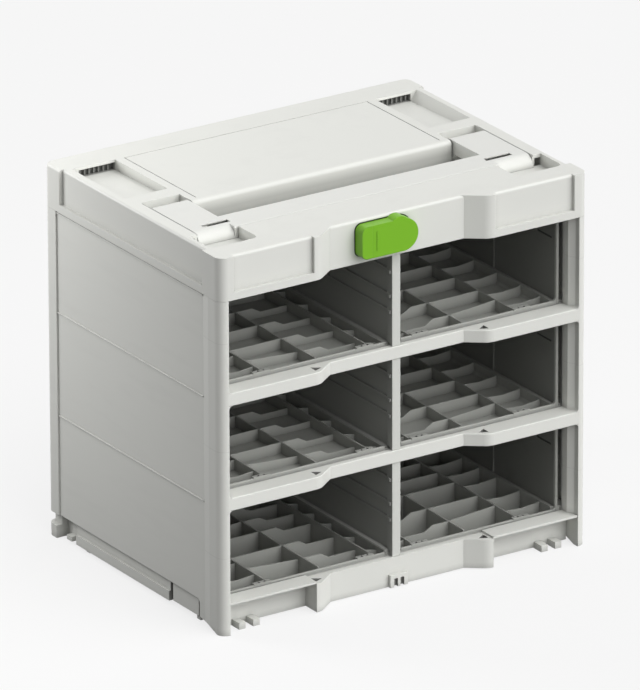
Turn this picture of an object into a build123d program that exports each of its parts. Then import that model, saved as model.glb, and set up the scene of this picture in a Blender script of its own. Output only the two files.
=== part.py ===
from build123d import *
import math
import os

# Stackable open-front rack for six small-parts cases, three rows of two.
# The front faces -Y, +Z is up and the origin is the middle of the footprint on the floor.

# Overall sizes
width = 396.0
depth = 296.0
rows = 3
row_pitch = 101.0
deck_height = 33.5
rail_height = 14.0
fascia_height = 41.5
corner_radius = 9.0
seam = 0.2

# Plan shape of the front: the middle is set back between two rounded shoulders
setback = 14.0
setback_half = 72.0
shoulder_half = 91.0
shoulder_round = 15.0
shoulder_end = 96.0

# Side walls and columns
panel_inset = 1.5
panel_wall = 3.0
panel_foot = 24.0
column_width = 9.5
column_depth = 20.0
column_fairing = 10.0
heel_start = 7.0
heel_rise = 4.2
skirt_depth = 38.5
skirt_rise = 6.8
skirt_corner = 3.0
rear_column_width = 12.0
jamb_step = 6.0
jamb_width = 4.2
jamb_slant = 6.0
rail_round = 0.8
rail_drop = 1.7
rail_groove = 1.5
rail_groove_depth = 5.0
corner_web_radius = 3.0
member_wall = 3.0
member_block = 12.0
pocket_inner = 6.0
pocket_outer = 2.5
pocket_rows = (14.0, 5.0, 8.5)
pocket_sink = 6.0
ridge_height = 1.2
ridge_proud = 0.8

# Compartments
insert_setback = 21.0
divider_width = 8.6
divider_web = 5.0
divider_setback = 15.3
divider_front_depth = 8.7
guide_heights = (30.5, 46.0, 69.5)
guide_height = 2.0
guide_proud = 1.6
guide_rear_clear = 34.0
tooth_back = 2.0
tooth_length = 3.2
tooth_height = 3.2
liner_step = 6.3
liner_wall = 2.2
liner_rear_clear = 5.0
liner_lip = 0.6
window_step = 2.0
window_inner = 6.5
window_setback = 1.0
lip_width = 3.0
lip_height = 1.5

# Rib trays
tray_wall = 1.6
rib_wall = 1.4
tray_floor = 1.5
tray_depth = 12.3
base_tray_depth = 28.0
first_rib = 16.0
rib_count = 3
dip_start = 18.0
dip_ramp = 9.0
dip_drop = 5.0
front_sag = 4.0
horn_dip = 2.5
horn_width = 3.0
horn_shift = 10.0
stub_shift = 12.0
tray_cove = 9.0
first_cross = 27.5
cross_pitches = (36.0, 38.5)
longest_cell = 40.0
base_pit_block = 88.0
bead_width = 2.6
bead_height = 3.4
bead_round = 0.9
bead_flange = 0.8
bead_inset = 2.0
bead_corner = 3.0
clip_length = 18.0
clip_width = 4.4
clip_height = 1.0
clip_slot = 2.2
clip_rim = 0.7
clip_shifts = (2.0, 4.0)
wall_rib_back = 101.5
wall_rib_width = 1.6
catch_slot_front = 8.0
catch_slot_length = 24.0
catch_slot_height = 59.5
catch_slot_width = 2.0
catch_slot_rise = 6.0

# Back wall
back_wall = 3.0
back_ridge = 1.5
back_border = 14.0
back_inset = 4.0

# Base
base_foot = 0.8
base_edge_drop = 4.6
flange_drop = 2.8
skirt_foot = 1.0
skirt_wall = 3.0
skirt_setback = 19.0
flange_height = 2.0
flange_back = 0.6
base_inset = 12.0
foot_length = 16.0
foot_height = 12.2
foot_width = 18.5
foot_pad = 10.0
foot_pad_height = 4.6
neck_inset = 6.0
neck_back = 4.5
lug_insets = (41.5, 26.5)
lug_width = 7.0
lug_reach = 12.2
lug_height = 6.3
catch_width = 19.0
catch_height = 12.8
catch_proud = 3.4
catch_bar = 3.6
catch_slot = 4.0
catch_slot_pitch = 6.8

# Side skids
skid_start = 92.0
skid_end = 45.5
skid_inset = 2.5
skid_height = 3.4
skid_step_height = 9.4
skid_step = 1.8
toe_start = 44.5
toe_inset = 4.0
toe_gap = 4.5
toe_rise = 1.5
tab_gap = 7.5
tab_length = 8.5
tab_height = 4.5
backing = 3.0
peg_length = 6.0
peg_inset = 2.0

# Cover
top_wall = 3.5
cover_wall = 3.5
ceiling_wall = 2.2
band_inset = 3.5
band_start = 29.0
band_end = 27.0
top_round = 2.5
label_step = 6.5
label_inset = 15.0
label_foot = 7.5
label_depth = 3.5
boss_wall = 2.5
rear_well_rim = 11.0
rear_well_end = 32.0
rear_well_start = 18.0
rear_well_depth = 10.0
rear_well_rise = 2.0
rear_well_slope = 7.0
slat_pitch = 5.0
slat_width = 1.4
slat_proud = 2.5
well_lip = 2.5
well_lip_reach = 6.0
front_well_rim = 9.0
front_well_start = 28.5
front_well_lap = 2.5
front_well_depth = 11.0
front_well_radius = 6.0
groove_inset = 10.0
groove_width = 1.0
panel_groove_depth = 0.8
panel_round = 4.0
groove_end = 33.0

# Handle and its recess
handle_rim = 18.5
arm_width = 38.5
handle_start = 62.0
arm_length = 78.0
bar_depth = 31.0
handle_thick = 13.0
handle_wall = 3.0
handle_gap = 0.6
recess_depth = 21.0
recess_behind = 18.0
finger_gap = 42.0
post_clear = 1.6
pivot_drop = 8.5
pin_radius = 3.0
running_gap = 0.05
pin_seat = 2.0
slot_length = 28.0
slot_width = 6.0
slot_edge = 1.0
slot_clear = 3.0
slot_back = 13.5
slot_shift = 3.0
arm_nose = 11.0
bar_round = 1.5

# Rotary latch
latch_height = 19.0
latch_radius = 15.5
latch_reach = 45.0
latch_lip = 11.0
latch_tip_radius = 6.0
latch_clear = 0.8
latch_thick = 10.8
latch_lip_proud = 1.0
latch_face_wall = 2.0
lip_rim = 0.6
lobe_radius = 10.5
lobe_shift = 4.0
lobe_rise = 3.0
mark_shift = 5.0
mark_width = 1.2
mark_height = 18.0
latch_gap = 0.5
latch_base_thick = 3.4
latch_pocket = 4.0
latch_pin_radius = 3.0
latch_head_radius = 5.5
latch_head = 2.0
washer_thick = 1.2
washer_radius = 7.5

# Back wall screws
screw_radius = 2.0
screw_head_radius = 3.8
screw_head = 2.2
screw_length = 12.0
screw_side = 120.0
screw_slot = 0.9

# Derived places
half = width / 2
front = -depth / 2
rear = depth / 2
middle_front = front + setback
insert_front = front + insert_setback
window_front = insert_front + window_setback
ledge_rear = window_front + seam + tray_wall
shelf_window_rear = rear - column_depth - window_setback
opening_height = row_pitch - rail_height
cover_base = deck_height + rows * row_pitch - rail_height
height = cover_base + fascia_height
decks = [deck_height + row_pitch * i for i in range(rows)]
panel_out = half - panel_inset
panel_in = panel_out - panel_wall
column_in = half - column_width
rear_column_in = half - rear_column_width
jamb_in = column_in - jamb_width
jamb_face = front + jamb_step
jamb_corner = jamb_face + jamb_slant
rail_rear = insert_front - rail_groove
back_in = rear - back_inset - back_wall
skirt_front = front + skirt_setback
liner_half = jamb_in - liner_step
window_half = liner_half - window_step
rib_pitch = (window_half - window_inner) / rib_count
rib_rows = [window_inner + first_rib + rib_pitch * i for i in range(rib_count)]
base_side = half - base_inset
foot_inner = half - foot_width
base_pit_rear = rear - base_pit_block
wall_rib_y = insert_front + wall_rib_back
skid_front = front + skid_start
skid_rear = rear - skid_end
skid_out = half - skid_inset
toe_front = front + toe_start
toe_rear = skid_front - toe_gap
toe_out = half - toe_inset
band_front = front + band_start
band_rear = rear - band_end
label_inner = shoulder_half + label_step
label_outer = half - label_inset
handle_half = half - handle_rim
handle_front = front + handle_start
pivot_y = handle_front + arm_length
pivot_z = height - pivot_drop
recess_rear = pivot_y + recess_behind
panel_front = handle_front + bar_depth + finger_gap
arm_inner = handle_half - arm_width
post_half = arm_inner - post_clear
latch_z = height - latch_height
latch_seat_rear = middle_front + latch_pocket + boss_wall
rear_well_rows = (recess_rear + rear_well_start, rear - rear_well_end)
rear_well = (arm_inner, half - rear_well_rim, *rear_well_rows)
front_well_rows = (front + front_well_start, handle_front + front_well_lap)
front_well = (arm_inner - front_well_lap, half - front_well_rim, *front_well_rows)
groove_half = arm_inner - groove_inset
groove_rear = rear - groove_end
screw_seat = back_in + back_wall + back_ridge


def box(x0, x1, y0, y1, z0, z1):
    """A block between three pairs of coordinates."""
    centre = ((x0 + x1) / 2, (y0 + y1) / 2, (z0 + z1) / 2)
    return Pos(*centre) * Box(abs(x1 - x0), abs(y1 - y0), abs(z1 - z0))


def both(part):
    """A piece and its mirror image on the other side of the case."""
    return part + mirror(part, about=Plane.YZ)


def rod_x(x0, x1, y, z, radius):
    """A round bar along X."""
    return Pos((x0 + x1) / 2, y, z) * Rot(0, 90, 0) * Cylinder(radius, abs(x1 - x0))


def rod_y(y0, y1, x, z, radius):
    """A round bar along Y."""
    return Pos(x, (y0 + y1) / 2, z) * Rot(90, 0, 0) * Cylinder(radius, abs(y1 - y0))


def across_x(points, x0, x1):
    """A profile given as (y, z) points, drawn out from x0 to x1."""
    plane = Plane(origin=(x0, 0, 0), x_dir=(0, 1, 0), z_dir=(1, 0, 0))
    return extrude(plane * make_face(Polyline(*points, close=True)), x1 - x0)


def across_y(points, y0, y1):
    """A profile given as (x, z) points, drawn out from y0 to y1."""
    plane = Plane(origin=(0, y1, 0), x_dir=(1, 0, 0), z_dir=(0, -1, 0))
    return extrude(plane * make_face(Polyline(*points, close=True)), y1 - y0)


def same(a, b):
    """True where two coordinates agree."""
    return abs(a - b) < 0.01


def front_plan(x_end, y_back):
    """Plan face with the shouldered front shape, from the front back to y_back."""
    right = [(setback_half, middle_front), (shoulder_half, front), (x_end, front), (x_end, y_back)]
    left = [(-x, y) for x, y in reversed(right)]
    face = make_face(Polyline(*left, *right, close=True))
    shoulders = [v for v in face.vertices() if same(abs(v.X), shoulder_half)]
    return fillet(shoulders, shoulder_round)


def slab(face, z0, z1):
    """A plan face given a floor and a top."""
    return extrude(Pos(0, 0, z0) * face, z1 - z0)


def level_edges(part, z):
    """Edges that lie flat at one height."""
    found = []
    for edge in part.edges():
        size = edge.bounding_box()
        if same(size.min.Z, z) and same(size.max.Z, z):
            found.append(edge)
    return found


def long_edges(part, z, shortest):
    """Edges of the outline at one height, without the short ones."""
    return [edge for edge in level_edges(part, z) if edge.length > shortest]


def front_edges(part, z):
    """Edges along the shouldered front of a rail, at one height."""
    found = []
    for edge in level_edges(part, z):
        size = edge.bounding_box()
        on_front = same(size.min.Y, front) and same(size.max.Y, front)
        on_middle = same(size.min.Y, middle_front) and same(size.max.Y, middle_front)
        near_ramp = setback_half - 1 < abs(edge.center().X) < shoulder_end
        if on_front or on_middle or (near_ramp and size.max.Y < middle_front + 1):
            found.append(edge)
    return found


def corner_web(x, y0, y1, z, up, radius):
    """Rounded inner corner: a fillet piece to the left of x and above or below z."""
    block = box(x - radius, x, y0, y1, z, z + up * radius)
    return block - rod_y(y0 - 1, y1 + 1, x - radius, z + up * radius, radius)


def column(x_inner, y0, y1, foot, outer_end):
    """Corner column with its outer vertical edge rounded; outer_end is 0 in front, -1 behind."""
    post = box(x_inner, half, y0, y1, foot, cover_base - seam)
    corner = post.edges().filter_by(Axis.Z).sort_by(Axis.X)[-2:].sort_by(Axis.Y)[outer_end]
    return fillet(corner, corner_radius)


def heel():
    """The space under the right front column, whose foot rises to the rear."""
    y1 = front + heel_start
    y2 = front + column_depth
    y3 = front + skirt_depth + 1
    corners = [(y1, -1), (y1, 0), (y2, heel_rise), (y3, skirt_rise), (y3, -1)]
    return across_x(corners, column_in - 1, half + 1)


def fairing():
    """Slanted strip that leads from the column's outer side to the flush side panel."""
    y0 = front + column_depth
    y1 = y0 + column_fairing
    corners = [(panel_in, y0 - 1), (half, y0 - 1), (panel_out, y1), (panel_in, y1)]
    return slab(make_face(Polyline(*corners, close=True)), 0, cover_base - seam)


def jamb():
    """Slanted edge of the openings beside the right front column."""
    x = column_in + 1
    y1 = insert_front - seam
    corners = [(x, jamb_face), (column_in, jamb_face), (jamb_in, jamb_corner), (jamb_in, y1), (x, y1)]
    z0 = deck_height - flange_drop + seam
    return slab(make_face(Polyline(*corners, close=True)), z0, cover_base - seam)


def front_frame():
    """Front moulding: two columns with their jambs, joined by the two shouldered rails."""
    x = column_in
    frame = both(column(x, front, front + column_depth, 0, 0) + jamb() + fairing() - heel())
    for deck in decks[1:]:
        floor = deck - rail_height
        top = deck - rail_drop
        rail = slab(front_plan(x + 1, rail_rear), floor, top)
        rail = fillet(front_edges(rail, top) + front_edges(rail, floor), rail_round)
        frame += rail - rail_pockets(top)
        for z, up in ((top, 1), (floor, -1)):
            frame += both(corner_web(x, front, jamb_corner, z, up, corner_web_radius))
    return frame


def side_wall():
    """Right wall: outer panel with its ridges and the rounded rear column."""
    top = cover_base - seam
    y0 = front + column_depth + column_fairing
    y1 = rear - column_depth
    wall = box(panel_in, panel_out, y0, y1, panel_foot, top)
    wall += column(rear_column_in, y1, rear, panel_foot, -1)
    y = front + skirt_depth
    corner = y + skirt_corner
    skirt = [(y0, 0), (y, 0), (y, panel_foot - skirt_corner), (corner, panel_foot), (corner, panel_foot + 1)]
    wall += across_x(skirt + [(y0, panel_foot + 1)], panel_in, panel_out) - heel()
    ridges = [deck - rail_height + ridge_height for deck in decks[1:]] + [top - 2 * ridge_height]
    for z in ridges:
        wall += box(panel_out, panel_out + ridge_proud, y0, y1, z, z + ridge_height)
    return wall


def tray_window(rear_edge, z0, z1):
    """The space that a rib tray drops into, on the right side."""
    return box(window_inner, window_half, window_front, rear_edge, z0, z1)


def tray_lip_window(rear_edge, z0, z1):
    """The smaller hole under a tray, inside its supporting lip."""
    lip = lip_width
    y0 = window_front + lip
    return box(window_inner + lip, window_half - lip, y0, rear_edge - lip, z0, z1)


def rail_pockets(top):
    """Small triangular pockets in the top of a front rail at its shoulders."""
    outer = shoulder_half + pocket_outer
    deep, near, middle = [front + row for row in pocket_rows]
    corners = [(outer, deep), (outer, near), (shoulder_half - pocket_inner, middle)]
    return both(slab(make_face(Polyline(*corners, close=True)), top - pocket_sink, top + 1))


def front_groove(edge):
    """Narrow groove behind a front rail, and the ledge for the inserts' front beads."""
    groove = box(-jamb_in, jamb_in, rail_rear, insert_front, edge - rail_groove_depth, edge + row_pitch / 2)
    return groove + box(-jamb_in, jamb_in, rail_rear, ledge_rear + seam, edge, edge + row_pitch / 2)


def shelf_frame(deck):
    """Open shelf frame behind a front rail: side members, centre member and tray windows."""
    floor = deck - rail_height
    x = jamb_in - seam
    y0 = rail_rear + seam
    frame = box(-x, x, y0, insert_front, floor, deck)
    side = panel_in - seam
    frame += box(-side, side, insert_front, rear - column_depth - seam, floor, deck)
    x = rear_column_in - seam
    frame += box(-x, x, shelf_window_rear, back_in - seam, floor, deck)
    frame -= front_groove(deck - rail_drop)
    frame -= both(tray_window(shelf_window_rear, floor + lip_height, deck + 1))
    frame -= both(tray_lip_window(shelf_window_rear, floor - 1, deck))
    y0 = insert_front + member_block
    y1 = rear - column_depth - member_block
    core = box(window_half + member_wall, side - member_wall, y0, y1, floor - 1, deck - member_wall)
    frame -= both(core)
    return screw_holes(frame)


def cross_rib(points, y):
    """A cross rib of the tray with its own top profile."""
    return across_y(points, y - rib_wall / 2, y + rib_wall / 2)


def tray_cells(deck, floor, places):
    """Cross ribs of a tray: three cells between the long ribs, each with its own top line."""
    near, middle, far = rib_rows
    start = window_inner + seam + 1
    end = window_half - seam - tray_wall
    low = deck - dip_drop
    ribs = []
    for place, y in enumerate(places):
        stub = [(start, floor), (start, low + 1), (near, deck - 1), (near, floor)]
        ribs.append(cross_rib(stub, y - stub_shift))
        dip = [(near, floor), (near, low), (middle - dip_start - dip_ramp, low)]
        dip += [(middle - dip_start, deck), (middle, deck), (middle, floor)]
        ribs.append(cross_rib(dip, y))
        sag = front_sag if place == 0 else 0
        slope = [(middle, floor), (middle, deck - sag), (far, deck), (far, floor)]
        ribs.append(cross_rib(slope, y + 2 * sag))
        horn = [(far, floor), (far, deck - 1), ((end + far) / 2, deck - horn_dip)]
        horn += [(end - horn_width, deck - 1), (end, deck), (end, floor)]
        ribs.append(cross_rib(horn, y + sag - horn_shift))
    return ribs


def detent_clip(x, ledge):
    """Clip with two slots over the tray's front bead that holds a case in."""
    y0 = insert_front
    y1 = y0 + clip_width
    top = ledge + bead_height
    clip = box(x, x + clip_length, y0, y1, ledge, top + clip_height)
    for step in (1, 2):
        x0 = x + clip_length * step / 3 - clip_slot / 2
        clip -= box(x0, x0 + clip_slot, y0 + clip_rim, y1 - clip_rim, top - clip_height, top + 2)
    return clip


def cross_places(tray_rear):
    """Places of the cross ribs along a tray: three set ones in front, the rest evenly spread."""
    places = [insert_front + first_cross]
    for pitch in cross_pitches:
        places.append(places[-1] + pitch)
    room = tray_rear - places[-1]
    cells = math.ceil(room / longest_cell)
    return places + [places[-1] + room * i / cells for i in range(1, cells)]


def rib_tray(deck, floor_depth, tray_rear):
    """Tray of thin ribs that the cases slide over, with one coved side."""
    x0 = window_inner + seam
    x1 = window_half - seam
    y0 = window_front + seam
    y1 = tray_rear - seam
    bottom = deck - floor_depth
    wall = tray_wall
    tray = box(x0, x1, y0, y1, bottom, deck)
    tray -= box(x0 + wall, x1 - wall, y0 + wall, y1 - wall, bottom + tray_floor, deck + 1)
    y0 += wall / 2
    y1 -= wall / 2
    rib_foot = bottom + tray_floor / 2
    for x in rib_rows:
        tray += box(x - rib_wall / 2, x + rib_wall / 2, y0, y1, rib_foot, deck)
    for rib in tray_cells(deck, rib_foot, cross_places(tray_rear)):
        tray += rib
    cove = min(floor_depth / 2, tray_cove)
    edge = x1 - wall / 2
    curve = [(edge, bottom + 1), (edge - cove, bottom + 1), (edge - cove / 3, bottom + cove / 3)]
    return tray + across_y(curve + [(edge, bottom + cove)], y0, y1)


def side_liner(deck, ledge):
    """Upright side of a compartment, with a front lip, a low rib and the catch's L-shaped slot."""
    x0 = liner_half
    x1 = liner_half + liner_wall
    top = deck + opening_height - seam
    liner = box(x0, x1, insert_front, back_in - liner_rear_clear, deck, top)
    y0 = insert_front
    y1 = y0 + bead_width
    lip = x0 - liner_lip
    liner += box(lip, x1, y0, y1, ledge, top)
    liner += corner_web(lip, y0, y1, ledge + bead_height, 1, bead_corner)
    rib_y = wall_rib_y - wall_rib_width / 2
    liner += box(x0 - ridge_proud, x0, rib_y, rib_y + wall_rib_width, deck, top)
    z = deck + catch_slot_height
    y0 = insert_front + catch_slot_front
    y1 = y0 + catch_slot_length
    x1 = liner_half + liner_wall / 2
    liner -= box(x0 - 1, x1, y0, y1, z, z + catch_slot_width)
    liner -= box(x0 - 1, x1, y1 - catch_slot_width, y1, z, z + catch_slot_rise)
    return liner


def front_bead(ledge):
    """Rounded bead along the front of an insert, on the ledge behind the rail."""
    y0 = insert_front
    top = ledge + bead_height
    bead = box(window_inner + seam + bead_inset, liner_half, y0, y0 + bead_width, ledge, top)
    upper = [edge for edge in level_edges(bead, top) if edge.length > bead_width + 1]
    return fillet(upper, bead_round)


def insert(deck, floor_depth, tray_rear, drop):
    """Right-hand compartment insert: rib tray, front bead with clips and the side liner."""
    ledge = deck - drop
    x0 = window_inner + seam
    x1 = liner_half + liner_wall
    tray = rib_tray(deck, floor_depth, tray_rear)
    tray -= box(x0 - 1, window_half + 1, insert_front, ledge_rear, ledge + bead_flange, deck + 1)
    tray += side_liner(deck, ledge)
    tray += box(x0, x1, insert_front, ledge_rear, ledge, ledge + bead_flange) + front_bead(ledge)
    x = window_half - seam - tray_wall
    tray += box(x, x1, ledge_rear, back_in - liner_rear_clear, deck, deck + bead_flange)
    for place, shift in zip((rib_rows[0], rib_rows[-1]), clip_shifts):
        tray += detent_clip(place - shift, ledge)
    return tray


def divider(deck, drop):
    """Upright between the two compartments of a row, with guide ridges on both faces."""
    z0 = deck + seam
    z1 = deck + opening_height - seam
    y0 = front + divider_setback
    web_rear = back_in - seam
    wall = box(-divider_width / 2, divider_width / 2, y0, y0 + divider_front_depth, z0, z1)
    wall += box(-divider_web / 2, divider_web / 2, y0, web_rear, z0, z1)
    wall += box(-divider_width / 2, divider_width / 2, y0, rail_rear, z0 - drop, z0 + 1)
    reach = divider_web / 2 + guide_proud
    tooth = divider_width / 2 + guide_proud
    for up in guide_heights:
        z = deck + up
        wall += box(-reach, reach, y0 + tooth_back, web_rear - guide_rear_clear, z, z + guide_height)
        z -= tooth_height - guide_height
        wall += box(-tooth, tooth, y0 + tooth_back, y0 + tooth_back + tooth_length, z, z + tooth_height)
    return wall


def ceiling():
    """Flat panel that closes the cover from below and roofs the top row."""
    x = half - band_inset - cover_wall - seam
    y0 = middle_front + cover_wall + seam
    return box(-x, x, y0, rear - cover_wall - seam, cover_base + seam, cover_base + seam + ceiling_wall)


def back():
    """Back wall between the rear columns, with a raised border and ridges at the shelf levels."""
    x = rear_column_in - seam
    y0 = back_in + back_wall
    panel = box(-x, x, back_in, y0, panel_foot, cover_base - seam)
    for deck in decks[1:]:
        panel += box(-x, x, y0, y0 + back_ridge, deck - rail_height, deck)
    border = box(-x, x, y0, y0 + back_ridge, panel_foot, cover_base - seam)
    inner_x = x - back_border
    border -= box(-inner_x, inner_x, back_in, rear, panel_foot + back_border, cover_base - back_border)
    return screw_holes(panel + border)


def screw_places():
    """Centres of the back wall screws: two for each shelf and two for the base."""
    return [(side * screw_side, deck - rail_height / 2) for deck in decks for side in (-1, 1)]


def screw_holes(part):
    """The same piece with the back wall screws' holes in it."""
    for x, z in screw_places():
        part -= rod_y(screw_seat - screw_length, rear, x, z, screw_radius + running_gap)
    return part


def back_screws():
    """Pan-head screws that hold the back wall to the shelves and the base."""
    group = []
    for x, z in screw_places():
        screw = rod_y(screw_seat - screw_length, screw_seat, x, z, screw_radius)
        screw += rod_y(screw_seat, screw_seat + screw_head, x, z, screw_head_radius)
        y0 = screw_seat + screw_head / 2
        screw -= box(x - screw_radius, x + screw_radius, y0, rear, z - screw_slot / 2, z + screw_slot / 2)
        screw -= box(x - screw_slot / 2, x + screw_slot / 2, y0, rear, z - screw_radius, z + screw_radius)
        group.append(screw)
    return Compound(children=group)


def rear_foot():
    """Rounded rear corner foot with a low pad, under a neck inside the rear column."""
    y0 = rear - foot_length
    foot = box(foot_inner, half, y0, rear, 0, foot_height)
    corner = foot.edges().filter_by(Axis.Z).sort_by(Axis.X)[-2:].sort_by(Axis.Y)[-1]
    foot = fillet(corner, corner_radius)
    foot -= box(foot_inner - 1, half + 1, y0 + foot_pad, rear + 1, -1, foot_pad_height)
    return foot + box(foot_inner, half - neck_inset, y0, rear - neck_back, foot_height, panel_foot - seam)


def front_catch():
    """Block on the front skirt that the latch of a rack below would grip, with two slots."""
    x = catch_width / 2
    y0 = middle_front - catch_proud
    catch = box(-x, x, y0, middle_front + 1, skirt_foot, catch_height)
    for x in (-catch_slot_pitch / 2, catch_slot_pitch / 2):
        x0 = x - catch_slot / 2
        catch -= box(x0, x0 + catch_slot, y0 - 1, middle_front - seam, 0, catch_height - catch_bar)
    return catch


def base_edge_space():
    """The space over the base's front: lowest in the middle, higher over the side flanges."""
    top = deck_height + 1
    space = box(-half, half, front - 1, insert_front, deck_height - flange_drop, top)
    space += box(-shoulder_end, shoulder_end, front - 1, insert_front, deck_height - base_edge_drop, top)
    return space + front_groove(deck_height - base_edge_drop)


def base():
    """Base frame: deck with two tray pits, shouldered front skirt, stacking lugs and rear feet."""
    deck = deck_height
    rear_edge = back_in - seam
    frame = box(-base_side, base_side, skirt_front, rear_edge, base_foot, deck)
    side = panel_in - seam
    frame += box(-side, side, insert_front, rear - column_depth - seam, panel_foot + seam, deck)
    wall = skirt_wall
    y0 = base_pit_rear + wall
    core = box(window_inner, base_side - wall, y0, rear_edge - wall, base_foot - 1, deck - wall)
    frame -= both(core)
    frame += slab(front_plan(shoulder_end, skirt_front + 1), skirt_foot, deck)
    x = column_in - seam
    frame += both(box(base_side - 1, x, skirt_front, skirt_front + skirt_wall, base_foot, deck))
    y0 = front + flange_back
    z1 = deck - flange_drop
    frame += both(box(shoulder_end - 1, x, y0, skirt_front + 1, z1 - flange_height, z1))
    frame -= base_edge_space()
    frame -= both(tray_window(base_pit_rear, base_foot + lip_height, deck + 1))
    frame -= both(tray_lip_window(base_pit_rear, base_foot - 1, deck))
    frame -= rail_pockets(deck - base_edge_drop)
    frame += both(rear_foot())
    for inset in lug_insets:
        x0 = half - inset - lug_width / 2
        frame += both(box(x0, x0 + lug_width, skirt_front - lug_reach, skirt_front + 1, 0, lug_height))
    return screw_holes(frame + front_catch())


def skid():
    """Right-hand side skid: long stepped strip, short toe strip, a rear tab and two pegs."""
    x0 = base_side + seam
    top = panel_foot - seam
    step = skid_height + skid_step_height
    strip = box(x0, skid_out, skid_front, skid_rear, skid_height, step)
    strip += box(x0, skid_out - skid_step, skid_front, skid_rear, step, top)
    tab = skid_rear + tab_gap
    strip += box(x0, x0 + backing, toe_front, tab + tab_length, skid_height, top)
    strip += box(x0, skid_out, tab, tab + tab_length, skid_height, skid_height + tab_height)
    toe_foot = skid_height + toe_rise
    strip += box(x0, toe_out, toe_front, toe_rear, toe_foot, top)
    peg_out = toe_out - peg_inset
    y = skid_rear - 2 * peg_length
    strip += box(x0, peg_out, y - peg_length, y, 0, skid_height)
    return strip + box(x0, peg_out, toe_front, toe_front + peg_length, 0, toe_foot)


def cover_plan(upper):
    """Plan of the cover: its lower rim is full width, its upper part steps in at band and labels."""
    face = front_plan(half, rear)
    corners = [v for v in face.vertices() if abs(abs(v.X) - half) < 0.01]
    face = fillet(corners, corner_radius)
    if upper:
        step = Rectangle(2 * band_inset, band_rear - band_front)
        label = Rectangle(label_outer - label_inner, 2 * label_depth)
        y = (band_rear + band_front) / 2
        x = (label_outer + label_inner) / 2
        face -= Pos(half, y) * step + Pos(-half, y) * step
        face -= Pos(x, front) * label + Pos(-x, front) * label
    return face


def cover_shell():
    """Outer shell of the cover, hollow from below."""
    step_z = cover_base + label_foot
    upper = slab(cover_plan(True), step_z, height)
    upper = fillet(long_edges(upper, height, 20), top_round)
    shell = slab(cover_plan(False), cover_base, step_z) + upper
    inner = half - band_inset - cover_wall
    y_front = middle_front + cover_wall
    shell -= box(-inner, inner, y_front, rear - cover_wall, cover_base - 1, height - top_wall)
    pocket_front = front + label_depth + cover_wall
    shell -= both(box(label_inner, label_outer, pocket_front, y_front + 1, cover_base - 1, height - top_wall))
    return shell


def handle_recess():
    """The U-shaped space that the folded handle and the fingers need."""
    x = handle_half + handle_gap
    floor = height - recess_depth
    space = box(-x, x, handle_front - handle_gap, recess_rear, floor, height + 1)
    post = box(-post_half, post_half, panel_front, recess_rear + 1, floor - 1, height + 1)
    y = panel_front + panel_round
    z = height - panel_round
    wedge = box(-post_half, post_half, panel_front, y, z, height + 1)
    return space - post + (wedge - rod_x(-post_half, post_half, y, z, panel_round))


def rear_well_space():
    """Right rear well: rising floor, slanted outer wall and a grip pocket under its rear lip."""
    x0, x1, y0, y1 = rear_well
    floor = height - rear_well_depth
    profile = [(y1, height + 1), (y1, floor), (y0, floor + rear_well_rise), (y0, height + 1)]
    slope = [(x1 - rear_well_slope, floor), (x1, height), (x1, floor)]
    well = across_x(profile, x0, x1) - across_y(slope, y0 - 1, y1 + 1)
    return well + box(x0, x1 - rear_well_slope, y1 - 1, y1 + well_lip_reach, floor, height - well_lip)


def rear_well_slats():
    """Upright slats at the back of the grip pocket in the right rear well."""
    x0, x1, _, y1 = rear_well
    y1 += well_lip_reach
    room = x1 - rear_well_slope - x0
    floor = height - rear_well_depth - 1
    top = height - well_lip + 1
    slats = []
    for place in range(1, math.ceil(room / slat_pitch)):
        x = x0 + slat_pitch * place
        slats.append(box(x, x + slat_width, y1 - slat_proud, y1 + 1, floor, top))
    return slats


def front_well_space():
    """Right front well ahead of the handle's corner."""
    x0, x1, y0, y1 = front_well
    well = box(x0, x1, y0, y1, height - front_well_depth, height + 1)
    corners = well.edges().filter_by(Axis.Z).sort_by(Axis.Y)[:2]
    return fillet(corners, front_well_radius)


def panel_groove():
    """Fine groove that outlines the middle panel of the cover on three sides."""
    z = height - panel_groove_depth
    y = groove_rear + groove_width
    groove = box(-groove_half, groove_half, groove_rear, y, z, height + 1)
    x = groove_half + groove_width
    return groove + both(box(groove_half, x, panel_front + 2 * panel_round, y, z, height + 1))


def latch_plate(grow, y0, y1):
    """Plate with the latch's outline: a round end about the pivot and a straight tongue."""
    radius = latch_radius + grow
    reach = latch_reach + grow
    tongue = Pos(-reach / 2, 0) * Rectangle(reach, 2 * radius)
    tips = tongue.vertices().sort_by(Axis.X)[:2]
    face = fillet(tips, latch_tip_radius + grow) + Circle(radius)
    plane = Plane(origin=(0, y1, latch_z), x_dir=(1, 0, 0), z_dir=(0, -1, 0))
    return extrude(plane * face, y1 - y0)


def latch_seat_plate(grow, y0, y1):
    """Plate with the latch's outline that stays above the ceiling panel."""
    low = cover_base + ceiling_wall + 3 * seam
    return latch_plate(grow, y0, y1) & box(-half, half, front, rear, low, height)


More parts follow.
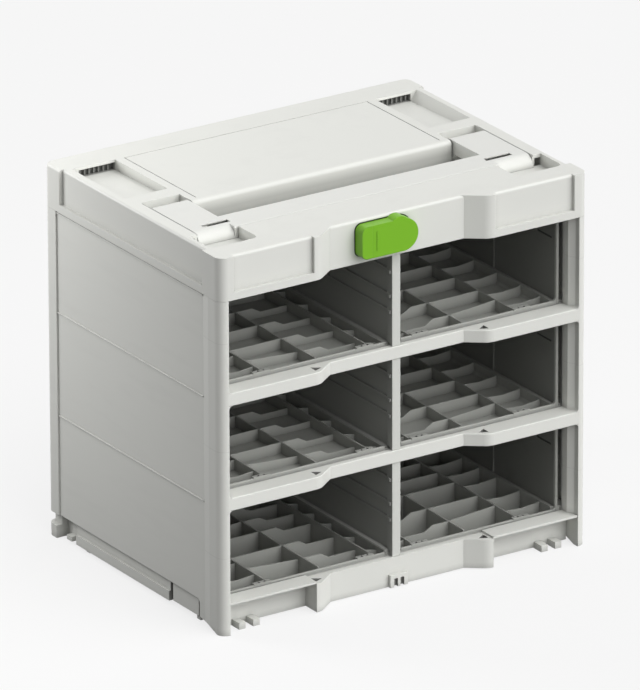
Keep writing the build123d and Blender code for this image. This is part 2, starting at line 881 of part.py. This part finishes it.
def top_cover():
    """Cover moulding: top with handle recess and wells, side bands and the front fascia."""
    shell = cover_shell()
    wall = boss_wall
    x = handle_half + handle_gap + wall
    floor = height - recess_depth - wall
    y0 = handle_front - handle_gap - wall
    y1 = recess_rear + wall
    boss = box(-x, x, y0, y1, floor, height - 1)
    x = post_half - wall
    boss -= box(-x, x, panel_front + wall, y1 + 1, floor - 1, height - top_wall)
    x0, x1, y0, y1 = rear_well
    y1 += well_lip_reach
    wells = box(x0 - wall, x1 + wall, y0 - wall, y1 + wall, height - rear_well_depth - wall, height - 1)
    x0, x1, y0, y1 = front_well
    wells += box(x0 - wall, x1 + 1, y0 - wall, y1, height - front_well_depth - wall, height - 1)
    seat_y = middle_front + cover_wall - 1
    x = latch_reach + 2 * wall
    seat = box(-x, x, seat_y, latch_seat_rear, cover_base + ceiling_wall + 2 * seam, height - 1)
    shell += boss + both(wells) + seat
    shell -= handle_recess()
    shell -= both(rear_well_space() + front_well_space())
    for slat in rear_well_slats():
        shell += both(slat)
    shell -= panel_groove()
    shell -= latch_seat_plate(latch_clear, middle_front - 1, middle_front + latch_pocket)
    shell -= rod_y(front, middle_front + 20, 0, latch_z, latch_pin_radius + running_gap)
    for side in (-1, 1):
        for x0, x1 in pin_seats():
            shell -= rod_x(side * x0, side * x1, pivot_y, pivot_z, pin_radius + running_gap)
    return shell


def pin_seats():
    """Where the right handle pin is held in the cover, at its inner and its outer end."""
    outer = handle_half + handle_gap
    return ((post_half - pin_seat, post_half + 1), (outer - 1, outer + pin_seat))


def handle_pin():
    """Right handle pin, held in the cover at both ends."""
    (x0, _), (_, x1) = pin_seats()
    return rod_x(x0, x1, pivot_y, pivot_z, pin_radius)


def arm_profile():
    """Side view of an arm: rounded nose, flat top and a round end about the pivot."""
    floor = height - handle_thick
    nose_z = height - arm_nose
    nose_y = handle_front + arm_nose
    nose = TangentArc((handle_front, nose_z), (nose_y, height), tangent=(0, 1))
    side = Polyline((nose_y, height), (pivot_y, height), (pivot_y, floor), (handle_front, floor))
    side += Line((handle_front, floor), (handle_front, nose_z))
    return make_face(nose + side)


def handle():
    """Folding carrying handle: a flat bar with two wide arms, hollow underneath."""
    floor = height - handle_thick
    x = handle_half
    y1 = handle_front + bar_depth
    bar = box(-arm_inner - 1, arm_inner + 1, handle_front, y1, floor, height)
    bar = fillet(bar.edges().filter_by(Axis.X), bar_round)
    plane = Plane(origin=(arm_inner, 0, 0), x_dir=(0, 1, 0), z_dir=(1, 0, 0))
    arm = extrude(plane * arm_profile(), arm_width)
    body = bar + both(arm)
    w = handle_wall
    nose = handle_front + arm_nose
    hollow = box(-arm_inner - w, arm_inner + w, nose, y1 - w, floor - 1, height - w)
    hollow += both(box(arm_inner + w, x - w, nose, pivot_y - pivot_drop - w, floor - 1, height - w))
    body -= hollow
    body += both(rod_x(arm_inner, x, pivot_y, pivot_z, pivot_drop))
    bore = rod_x(arm_inner - 1, x + 1, pivot_y, pivot_z, pin_radius + running_gap)
    x0 = arm_inner - slot_shift
    y0 = handle_front + slot_back
    x1 = x0 + slot_length
    y1 = y0 + slot_width
    slot = box(x0, x1, y0, y1, floor - 1, height + 1)
    thinned = box(x0 - slot_clear, x1 + slot_clear, y0, y1 + slot_clear, floor - 1, height - slot_edge)
    return body - both(bore + slot + thinned)


def latch_base():
    """Dark escutcheon plate behind the latch, seated in the fascia's pocket."""
    y1 = middle_front + latch_pocket
    plate = latch_seat_plate(latch_clear - seam, y1 - latch_base_thick, y1)
    return plate - rod_y(front, rear, 0, latch_z, latch_pin_radius + running_gap)


def latch_toggle():
    """Green rotary toggle with a thumb lip at its tip and a round lobe over the pivot."""
    back_y = middle_front - latch_gap
    y0 = back_y - latch_thick
    radius = latch_radius
    body = latch_plate(0, y0, back_y)
    body += rod_y(y0, back_y, -lobe_shift, latch_z + radius - lobe_radius + lobe_rise, lobe_radius)
    z = radius - lip_rim
    lip = box(-latch_reach, -latch_reach + latch_lip, y0 - latch_lip_proud, y0 + 1, latch_z - z, latch_z + z)
    tips = lip.edges().filter_by(Axis.Y).sort_by(Axis.X)[:2]
    body += fillet(tips, latch_tip_radius - lip_rim)
    x = -latch_reach + latch_lip + mark_shift
    z = mark_height / 2
    body += box(x, x + mark_width, y0 - latch_lip_proud / 2, y0 + 1, latch_z - z, latch_z + z)
    return body - rod_y(y0 + latch_face_wall, back_y + 1, 0, latch_z, latch_pin_radius + running_gap)


def latch_pin():
    """Latch axle, headed at its inner end behind the fascia."""
    y_back = latch_seat_rear + washer_thick
    y0 = middle_front - latch_gap - latch_thick + latch_face_wall + seam
    shaft = rod_y(y0, y_back + 1, 0, latch_z, latch_pin_radius)
    return shaft + rod_y(y_back, y_back + latch_head, 0, latch_z, latch_head_radius)


def latch_washer():
    """Spring washer between the fascia and the head of the latch axle."""
    y0 = latch_seat_rear
    ring = rod_y(y0, y0 + washer_thick, 0, latch_z, washer_radius)
    return ring - rod_y(y0 - 1, y0 + 3, 0, latch_z, latch_pin_radius + seam)


parts = {
    "front_frame": front_frame(),
    "right_side_wall": side_wall(),
    "back_wall": back(),
    "base_frame": base(),
    "right_skid": skid(),
    "top_cover": top_cover(),
    "ceiling_panel": ceiling(),
    "handle": handle(),
    "right_handle_pin": handle_pin(),
    "latch_base": latch_base(),
    "latch_toggle": latch_toggle(),
    "latch_axle": latch_pin(),
    "latch_washer": latch_washer(),
}
for name, deck in zip(("lower", "middle", "upper"), decks):
    if deck == deck_height:
        parts[name + "_right_insert"] = insert(deck, base_tray_depth, base_pit_rear, base_edge_drop)
        parts[name + "_divider"] = divider(deck, base_edge_drop)
    else:
        parts[name + "_shelf"] = shelf_frame(deck)
        parts[name + "_right_insert"] = insert(deck, tray_depth, shelf_window_rear, rail_drop)
        parts[name + "_divider"] = divider(deck, rail_drop)
parts["back_screws"] = back_screws()
for name in [n for n in parts if "right_" in n]:
    parts[name.replace("right_", "left_")] = mirror(parts[name], about=Plane.YZ)

os.makedirs("parts", exist_ok=True)
for name, part in parts.items():
    export_step(part, "parts/" + name + ".step")
    print(name, len(part.solids()), round(part.volume))
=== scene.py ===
import math

import bpy
from mathutils import Matrix, Vector

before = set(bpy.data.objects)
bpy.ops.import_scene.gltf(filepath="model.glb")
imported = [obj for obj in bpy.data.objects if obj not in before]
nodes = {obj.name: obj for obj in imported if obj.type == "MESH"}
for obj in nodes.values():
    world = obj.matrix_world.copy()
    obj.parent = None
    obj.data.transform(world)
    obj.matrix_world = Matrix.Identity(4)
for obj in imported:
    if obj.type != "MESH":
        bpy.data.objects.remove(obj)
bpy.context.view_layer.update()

# Camera
# A long lens far off to the front left, so that the rack's edges stay almost parallel.
# Its place and lens were fitted to the rack's corners in the photograph.
camera_azimuth = math.radians(-33.028)
camera_elevation = math.radians(21.661)
camera_roll = math.radians(-0.174)
camera_distance = 11.005
camera_target = Vector((0, 0, 0.170))
camera_shift = (0.003601, 0.019144)
frame_height = 690
focal_pixels = 12084
sensor = 36


def way_to(azimuth, elevation):
    """Direction from the rack to something at an azimuth from the front and an elevation."""
    flat = math.cos(elevation)
    return Vector((math.sin(azimuth) * flat, -math.cos(azimuth) * flat, math.sin(elevation)))


back_way = way_to(camera_azimuth, camera_elevation)
level_right = Vector((0, 0, 1)).cross(back_way).normalized()
level_up = back_way.cross(level_right)
right_way = level_right * math.cos(camera_roll) + level_up * math.sin(camera_roll)
up_way = level_up * math.cos(camera_roll) - level_right * math.sin(camera_roll)
camera_place = camera_target + right_way * camera_shift[0] + up_way * camera_shift[1]
camera_place += back_way * camera_distance

camera_data = bpy.data.cameras.new("camera")
camera_data.sensor_width = sensor
camera_data.lens = focal_pixels / frame_height * sensor
camera_data.clip_end = 60
camera = bpy.data.objects.new("camera", camera_data)
turn = Matrix((right_way, up_way, back_way)).transposed()
camera.matrix_world = Matrix.Translation(camera_place) @ turn.to_4x4()
bpy.context.scene.collection.objects.link(camera)
bpy.context.scene.camera = camera

# Studio
# A wide pale floor under a soft white surround, brightest above and ahead on the right,
# with a weak lamp from the front. A small lamp behind on the left lights the left side.
floor_white = (0.94, 0.94, 0.94, 1)
floor_bounce = (0.12, 0.12, 0.12, 1)
floor_glow = 0.8
floor_reach = 30
dome_azimuth = math.radians(30)
dome_elevation = math.radians(36)
dome_dim = (0.02, 0.02, 0.02, 1)
dome_bright = (2.52, 2.52, 2.52, 1)
key_level = 0.4
key_azimuth = math.radians(18)
key_elevation = math.radians(45)
key_softness = math.radians(36)
fill_power = 2.5
fill_size = 0.35
fill_place = Vector((-0.56, 0.44, 0.50))
fill_target = Vector((-0.198, 0, 0.18))


class Wire:
    """A value inside a finish; arithmetic on it adds Math nodes."""

    def __init__(self, finish, socket):
        self.finish = finish
        self.socket = socket

    def maths(self, operation, *values):
        return self.finish.node("ShaderNodeMath", {"operation": operation}, dict(enumerate(values)))

    def __add__(self, other):
        return self.maths("ADD", self, other)

    def __radd__(self, other):
        return self.maths("ADD", other, self)

    def __sub__(self, other):
        return self.maths("SUBTRACT", self, other)

    def __rsub__(self, other):
        return self.maths("SUBTRACT", other, self)

    def __mul__(self, other):
        return self.maths("MULTIPLY", self, other)

    def __rmul__(self, other):
        return self.maths("MULTIPLY", other, self)

    def at_least(self, least):
        return self.maths("MAXIMUM", self, least)

    def at_most(self, most):
        return self.maths("MINIMUM", self, most)

    def near(self, middle, reach):
        """One where the value is within the reach of a middle value, else nought."""
        return self.maths("COMPARE", self, middle, reach)


class Finish:
    """A material or surround under construction."""

    def __init__(self, owner):
        self.owner = owner
        owner.use_nodes = True
        self.tree = owner.node_tree
        self.tree.nodes.clear()

    def node(self, kind, settings=None, inputs=None, output=0):
        """Adds a node, sets it up, feeds its sockets and returns one output."""
        made = self.tree.nodes.new(kind)
        for name, value in (settings or {}).items():
            setattr(made, name, value)
        for name, value in (inputs or {}).items():
            if isinstance(value, Wire):
                self.tree.links.new(value.socket, made.inputs[name])
            else:
                made.inputs[name].default_value = value
        return Wire(self, made.outputs[output]) if made.outputs else None

    def blend(self, factor, start, end):
        """Mixes two colours."""
        sockets = {"Factor": factor, "A": start, "B": end}
        return self.node("ShaderNodeMix", {"data_type": "RGBA"}, sockets, output=2)

    def noise(self, place, scale, detail, roughness):
        """Soft noise with a number of lumps a metre."""
        sockets = {"Vector": place, "Scale": scale, "Detail": detail, "Roughness": roughness}
        return self.node("ShaderNodeTexNoise", {}, sockets)

    def stretched(self, place, along):
        """Places squeezed along the axes, which draws a texture out."""
        return self.node("ShaderNodeVectorMath", {"operation": "MULTIPLY"}, {0: place, 1: along})

    def agreement(self, one_way, other_way):
        """One where two directions are the same, nought where they are square to each other."""
        ways = {0: one_way, 1: other_way}
        return self.node("ShaderNodeVectorMath", {"operation": "DOT_PRODUCT"}, ways, output=1)

    def across_along_up(self, place):
        """Distance from the rack's middle plane, place from front to back, and height."""
        x, y, z = [self.node("ShaderNodeSeparateXYZ", {}, {0: place}, output=axis) for axis in "XYZ"]
        return x.maths("ABSOLUTE", x), y, z

    def seen_directly(self):
        """One for rays from the lens, a glossy face or glass, and nought for light."""
        kinds = ("Is Camera Ray", "Is Glossy Ray", "Is Transmission Ray")
        lens, gloss, glass = [self.node("ShaderNodeLightPath", output=kind) for kind in kinds]
        return (lens + gloss + glass).at_most(1)

    def paint(self, *node_names):
        """Gives pieces of the frame this material."""
        for name in node_names:
            data = nodes[name].data
            data.materials.clear()
            data.materials.append(self.owner)


floor_mesh = bpy.data.meshes.new("floor")
corners = [(-floor_reach, -floor_reach, 0), (floor_reach, -floor_reach, 0)]
corners += [(floor_reach, floor_reach, 0), (-floor_reach, floor_reach, 0)]
floor_mesh.from_pydata(corners, [], [(0, 1, 2, 3)])
floor = bpy.data.objects.new("floor", floor_mesh)
bpy.context.scene.collection.objects.link(floor)
floor_finish = Finish(bpy.data.materials.new("floor"))
directly = floor_finish.seen_directly()
floor_paint = floor_finish.blend(directly, floor_bounce, floor_white)
matt = floor_finish.node("ShaderNodeBsdfDiffuse", {}, {"Color": floor_paint})
glow = floor_finish.node("ShaderNodeEmission", {}, {"Color": floor_white})
lit = floor_finish.node("ShaderNodeMixShader", {}, {0: directly * floor_glow, 1: matt, 2: glow})
floor_finish.node("ShaderNodeOutputMaterial", {}, {"Surface": lit})
floor_mesh.materials.append(floor_finish.owner)

world = bpy.data.worlds.new("surround")
bpy.context.scene.world = world
surround = Finish(world)
outward = surround.node("ShaderNodeTexCoord", output="Generated")
bright_way = way_to(dome_azimuth, dome_elevation)
facing = surround.agreement(outward, bright_way).at_least(0)
dome = surround.blend(facing * facing, dome_dim, dome_bright)
shown = surround.blend(surround.seen_directly(), dome, floor_white)
sky = surround.node("ShaderNodeBackground", {}, {"Color": shown})
surround.node("ShaderNodeOutputWorld", {}, {"Surface": sky})

key_data = bpy.data.lights.new("key_lamp", "SUN")
key_data.energy = key_level
key_data.angle = key_softness
key = bpy.data.objects.new("key_lamp", key_data)
key.rotation_euler = way_to(key_azimuth, key_elevation).to_track_quat("Z", "Y").to_euler()
bpy.context.scene.collection.objects.link(key)

fill_data = bpy.data.lights.new("fill_lamp", "AREA")
fill_data.energy = fill_power
fill_data.size = fill_size
fill = bpy.data.objects.new("fill_lamp", fill_data)
fill.location = fill_place
fill.rotation_euler = (fill_place - fill_target).to_track_quat("Z", "Y").to_euler()
bpy.context.scene.collection.objects.link(fill)
bpy.context.scene.view_settings.view_transform = "Standard"

# Front frame
# Two columns, their slanted jambs and two front rails are one moulding in pale grey ABS.
# It has a fine spark-eroded grain and three faint parting lines. Its small pockets are
# darkened, because the photo shows them in deep shade.
shell_grey = (0.775, 0.78, 0.74)
parting_heights = (0.075, 0.178, 0.282)
parting_reach = 0.00022
rail_tops = (0.13265, 0.23365)
pocket_across = (0.0893, 0.0043)
pocket_row = (-0.1385, 0.00465)
pocket_half = 0.0031
flow_scale = 9
touch_scale = 42
grain_scale = 1100
grain_depth = 0.00006
edge_round = 0.00045
edge_gain = 3.0
corner_reach = 0.007
corner_shade = 0.85
flow_levels = (1.03, 0.965)
corner_shade_level = 0.42
rub_level = 1.03
rub_share = 0.6
flow_share = 0.5
touch_share = 0.2
speck_share = 0.3
flow_sheen = 0.10
touch_sheen = 0.12
speck_sheen = 0.10
edge_sheen = 0.08
mark_depth = 3
line_strength = 0.18
# Colour level for parting lines and grime, and for painted shade in pockets, slots and gaps.
shade_and_marks_level = 0.3


def tone(colour, level):
    """The same colour darker or paler."""
    return [min(part * level, 1) for part in colour] + [1]


def moulded(name, colour, roughness, grain, marks=None, marked=1):
    """Moulded plastic: fine grain, faint flow, rubbed edges, painted corner shade and own marks."""
    finish = Finish(bpy.data.materials.new(name))
    place = finish.node("ShaderNodeTexCoord", output="Object")
    flow = finish.noise(place, flow_scale, detail=3, roughness=0.5)
    touch = finish.noise(place, touch_scale, detail=4, roughness=0.6)
    speck = finish.noise(place, grain_scale, detail=2, roughness=0.6)
    true_way = finish.node("ShaderNodeNewGeometry", output="Normal")
    soft_way = finish.node("ShaderNodeBevel", {"samples": 6}, {"Radius": edge_round})
    edge = ((1 - finish.agreement(soft_way, true_way)) * edge_gain).at_most(1)
    # Painted shade: close corners and narrow gaps darken where little open space is near them.
    open_sky = {"Distance": corner_reach}
    openness = finish.node("ShaderNodeAmbientOcclusion", {"samples": 6}, open_sky, output="AO")
    pale, dark, shaded, worn = [tone(colour, level) for level in (*flow_levels, corner_shade_level, marked)]
    shade = finish.blend(flow * flow_share + touch * touch_share + speck * speck_share, dark, pale)
    shade = finish.blend(edge * rub_share, shade, tone(colour, rub_level))
    shade = finish.blend((1 - openness) * corner_shade, shade, shaded)
    sheen = roughness + (flow - 0.5) * flow_sheen + (touch - 0.5) * touch_sheen
    sheen = sheen + (speck - 0.5) * speck_sheen - edge * edge_sheen
    height = speck
    if marks:
        mark = marks(finish, place)
        shade = finish.blend(mark, shade, worn)
        height = speck - mark * mark_depth
    sockets = {"Strength": grain, "Distance": grain_depth, "Height": height, "Normal": soft_way}
    bump = finish.node("ShaderNodeBump", {}, sockets)
    sockets = {"Base Color": shade, "Roughness": sheen, "Normal": bump, "IOR": 1.49}
    body = finish.node("ShaderNodeBsdfPrincipled", {}, sockets)
    finish.node("ShaderNodeOutputMaterial", {}, {"Surface": body})
    return finish


def pocket_shade(finish, place, top):
    """Stand-in for the shade in the small pockets that are sunk into a rail with this top."""
    across, along, up = finish.across_along_up(place)
    inside = across.near(*pocket_across) * along.near(*pocket_row)
    return inside * up.near(top - pocket_half, pocket_half)


def frame_marks(finish, place):
    """Fine lines where the slides of the mould met, and the shade in both rails' pockets."""
    across, along, up = finish.across_along_up(place)
    low, middle, high = [up.near(line, parting_reach) for line in parting_heights]
    lower, upper = [pocket_shade(finish, place, top) for top in rail_tops]
    return (low + middle + high) * line_strength + lower + upper


frame_finish = moulded("front_frame_plastic", shell_grey, roughness=0.42, grain=0.35,
                       marks=frame_marks, marked=shade_and_marks_level)
frame_finish.paint("front_frame")

# Side walls
# Each is a wide flat ABS panel with a rounded rear column and two shallow outer ridges.
# The melt ran out from the middle of the panel and left long faint streaks.
streak_along = (1, 5, 26)
streak_scale = 3
streak_strength = 0.35
streak_level = 0.72


def flow_streaks(finish, place):
    """Long faint streaks from the middle towards the edges of a wide panel."""
    streak = finish.noise(finish.stretched(place, streak_along), streak_scale, detail=3, roughness=0.5)
    return (streak - 0.5).at_least(0) * streak_strength


wall_finish = moulded("side_wall_plastic", shell_grey, roughness=0.44, grain=0.35,
                      marks=flow_streaks, marked=streak_level)
wall_finish.paint("right_side_wall", "left_side_wall")

# Back wall
# A flat panel between the rear columns with a raised border, screwed to the shelves and
# to the base. It has the side walls' streaks and a slightly duller face.
back_finish = moulded("back_wall_plastic", shell_grey, roughness=0.48, grain=0.4,
                      marks=flow_streaks, marked=streak_level)
back_finish.paint("back_wall")

# Base and skids
# The base is one moulding with the skirt, the stacking lugs and the rear feet, and a skid
# is pegged into each side of it. Both pick up grime off the floor. Their pockets, slots
# and gaps are darkened, as they are in shade in the photo.
grime_height = 0.007
grime_scale = 160
grime_start = 0.35
grime_strength = 0.5
slot_strength = 0.8
skid_gap = (-0.05825, 0.00235)
base_top = 0.02875
catch_slot = (0.0034, 0.0021)
catch_row = (-0.13565, 0.00157)
catch_height = (0.0046, 0.0047)


def floor_grime(finish, place):
    """Patchy grime that fades out a few millimetres above the floor."""
    across, along, up = finish.across_along_up(place)
    low = (1 - up * (1 / grime_height)).at_least(0)
    patch = finish.noise(place, grime_scale, detail=4, roughness=0.7)
    return low * (patch - grime_start).at_least(0) * grime_strength


def base_marks(finish, place):
    """Floor grime, and the shade in the pockets of the front edge and in the catch's slots."""
    across, along, up = finish.across_along_up(place)
    slots = across.near(*catch_slot) * along.near(*catch_row) * up.near(*catch_height)
    pockets = pocket_shade(finish, place, base_top)
    return floor_grime(finish, place) + pockets + slots * slot_strength


def skid_marks(finish, place):
    """Floor grime, and the shade in the gap between a skid's strip and its toe."""
    across, along, up = finish.across_along_up(place)
    return floor_grime(finish, place) + along.near(*skid_gap)


base_finish = moulded("base_plastic", shell_grey, roughness=0.46, grain=0.4,
                      marks=base_marks, marked=shade_and_marks_level)
base_finish.paint("base_frame")
skid_finish = moulded("skid_plastic", shell_grey, roughness=0.46, grain=0.4,
                      marks=skid_marks, marked=shade_and_marks_level)
skid_finish.paint("right_skid", "left_skid")

# Top cover
# The largest moulding, with the recess for the handle, four wells and the front fascia.
# Its top has faint patches from handling. Its grip pockets, the edges along the handle's
# arms and the wall behind the finger gap are darkened, as they are in shade in the photo.
top_height = 0.3635
patch_scale = 26
patch_start = 0.52
patch_strength = 0.18
deep_level = 0.2
grip_across = (0.1605, 0.0207)
grip_row = (0.1193, 0.0031)
grip_height = (0.3578, 0.0039)
grip_front = 0.1142
grip_fade = 0.0065
gap_across = (0.1805, 0.0004)
gap_row = (-0.040, 0.048)
gap_top = 0.3625
gap_shade = 0.7
wall_half = 0.15
wall_place = (-0.0118, 0.0018)
wall_top = 0.364
wall_fade = 0.0125
wall_shade = 0.5


def carrying_rub(finish, place):
    """Faint darker patches from handling, on the top faces."""
    across, along, up = finish.across_along_up(place)
    patch = finish.noise(place, patch_scale, detail=5, roughness=0.65)
    on_top = up.maths("GREATER_THAN", up, top_height)
    return on_top * (patch - patch_start).at_least(0) * patch_strength


def cover_marks(finish, place):
    """Handling patches, and the shade in the grip pockets, along the arms and on the wall."""
    across, along, up = finish.across_along_up(place)
    inside = across.near(*grip_across) * along.near(*grip_row) * up.near(*grip_height)
    # Painted shade in the grip pockets, darker towards their backs.
    deeper_shade = ((along - grip_front) * (1 / grip_fade)).at_least(0).at_most(1)
    line = across.near(*gap_across) * along.near(*gap_row)
    line = line * up.maths("GREATER_THAN", up, gap_top) * gap_shade
    low = ((wall_top - up) * (1 / wall_fade)).at_least(0).at_most(1)
    wall = across.near(0, wall_half) * along.near(*wall_place) * low * wall_shade
    return carrying_rub(finish, place) + inside * deeper_shade + line + wall


cover_finish = moulded("cover_plastic", shell_grey, roughness=0.42, grain=0.35,
                       marks=cover_marks, marked=deep_level)
cover_finish.paint("top_cover")

# Ceiling panel and shelves
# A flat panel under the cover and two open frames behind the rails carry the inserts.
# They are moulded with a dull eroded face, and their grey is darker than the shell's as painted shade.
inner_grey_painted_dark = (0.50, 0.505, 0.48)
shelf_names = ("ceiling_panel", "middle_shelf", "upper_shelf")
shelf_finish = moulded("shelf_plastic", inner_grey_painted_dark, roughness=0.5, grain=0.4)
shelf_finish.paint(*shelf_names)

# Dividers
# Three uprights stand between the left and right bays, each with a foot on the rail in
# front of it. Their grey is darkened as painted shade for their sides, and their front
# faces keep a paler grey.
divider_grey_painted_dark = (0.36, 0.365, 0.345)
pale_start = -0.1317
pale_fade = 1000
pale_level = 1.85


def pale_front(finish, place):
    """Paler front face of a divider."""
    across, along, up = finish.across_along_up(place)
    return ((pale_start - along) * pale_fade).at_least(0).at_most(1)


divider_names = ("lower_divider", "middle_divider", "upper_divider")
divider_finish = moulded("divider_plastic", divider_grey_painted_dark, roughness=0.44, grain=0.35,
                         marks=pale_front, marked=pale_level)
divider_finish.paint(*divider_names)

# Compartment inserts
# Six thin-walled trays of ribs with an upright side, moulded in polypropylene; painted shade darkens
# their grey.
# Cases leave fine scratches along the bays. The upright sides and their catch slots are
# darkened, as they are in shade in the photo.
insert_grey_painted_dark = (0.39, 0.395, 0.37)
scratch_along = (420, 9, 9)
scratch_scale = 3
scratch_start = 0.62
scratch_strength = 0.42
slot_heights = (0.096, 0.197, 0.298)
slot_half = 0.0032
slot_row = (-0.107, 0.0122)
slot_floor = (0.1791, 0.0004)
liner_face = (0.178, 0.0003)
liner_shade = 0.55
# Colour level for the scratches, and for the painted shade on the liners and in their slots.
wear_and_shade_level = 0.25


def insert_marks(finish, place):
    """Scratches along the way cases slide, and the shade on the liners and in their slots."""
    line = finish.noise(finish.stretched(place, scratch_along), scratch_scale, detail=2, roughness=0.5)
    scratches = (line - scratch_start).at_least(0) * scratch_strength
    across, along, up = finish.across_along_up(place)
    lower, middle, upper = [up.near(height, slot_half) for height in slot_heights]
    slots = across.near(*slot_floor) * along.near(*slot_row) * (lower + middle + upper)
    return scratches + across.near(*liner_face) * liner_shade + slots


rows = ("lower", "middle", "upper")
insert_names = [row + side + "_insert" for row in rows for side in ("_right", "_left")]
insert_finish = moulded("insert_plastic", insert_grey_painted_dark, roughness=0.48, grain=0.3,
                        marks=insert_marks, marked=wear_and_shade_level)
insert_finish.paint(*insert_names)

# Handle
# A flat bar with two wide arms, hollow underneath, that folds down flush with the cover.
# It has the cover's grey and its patches from handling, and is a little glossier.
handle_grey = (0.77, 0.775, 0.74)
handle_finish = moulded("handle_plastic", handle_grey, roughness=0.37, grain=0.3,
                        marks=carrying_rub, marked=deep_level)
handle_finish.paint("handle")

# Latch
# A green toggle turns on its axle in front of a dark seat plate in the fascia. Both are
# moulded in glass-filled nylon, the toggle with a satin face and the plate dull.
latch_green = (0.19, 0.48, 0.006)
plate_grey = (0.055, 0.058, 0.06)
toggle_finish = moulded("latch_toggle_plastic", latch_green, roughness=0.36, grain=0.25)
toggle_finish.paint("latch_toggle")
plate_finish = moulded("latch_plate_plastic", plate_grey, roughness=0.45, grain=0.4)
plate_finish.paint("latch_base")

# Handle pins, latch axle, washer and screws
# Turned and pressed steel parts with thin zinc plating, pressed or screwed in place.
# The plating is faintly mottled and keeps fine marks from turning.
zinc_light = (0.62, 0.63, 0.65, 1)
zinc_dark = (0.44, 0.45, 0.47, 1)
zinc_names = ("right_handle_pin", "left_handle_pin", "latch_axle", "latch_washer", "back_screws")
spangle_scale = 900
haze_scale = 300
zinc_edge = 0.0002
zinc_grain = 0.00003
zinc_sheen = 0.24
mottle_sheen = 0.2
zinc = Finish(bpy.data.materials.new("zinc_plated_steel"))
place = zinc.node("ShaderNodeTexCoord", output="Object")
spangle = zinc.node("ShaderNodeTexVoronoi", {}, {"Vector": place, "Scale": spangle_scale})
haze = zinc.noise(place, haze_scale, detail=3, roughness=0.6)
mottle = (spangle + haze) * 0.5
plating = zinc.blend(mottle, zinc_dark, zinc_light)
round_way = zinc.node("ShaderNodeBevel", {"samples": 6}, {"Radius": zinc_edge})
turned_marks = {"Strength": 0.2, "Distance": zinc_grain, "Height": haze, "Normal": round_way}
bump = zinc.node("ShaderNodeBump", {}, turned_marks)
plated = {"Base Color": plating, "Metallic": 1.0, "Normal": bump}
plated["Roughness"] = zinc_sheen + mottle * mottle_sheen
metal = zinc.node("ShaderNodeBsdfPrincipled", {}, plated)
zinc.node("ShaderNodeOutputMaterial", {}, {"Surface": metal})
zinc.paint(*zinc_names)
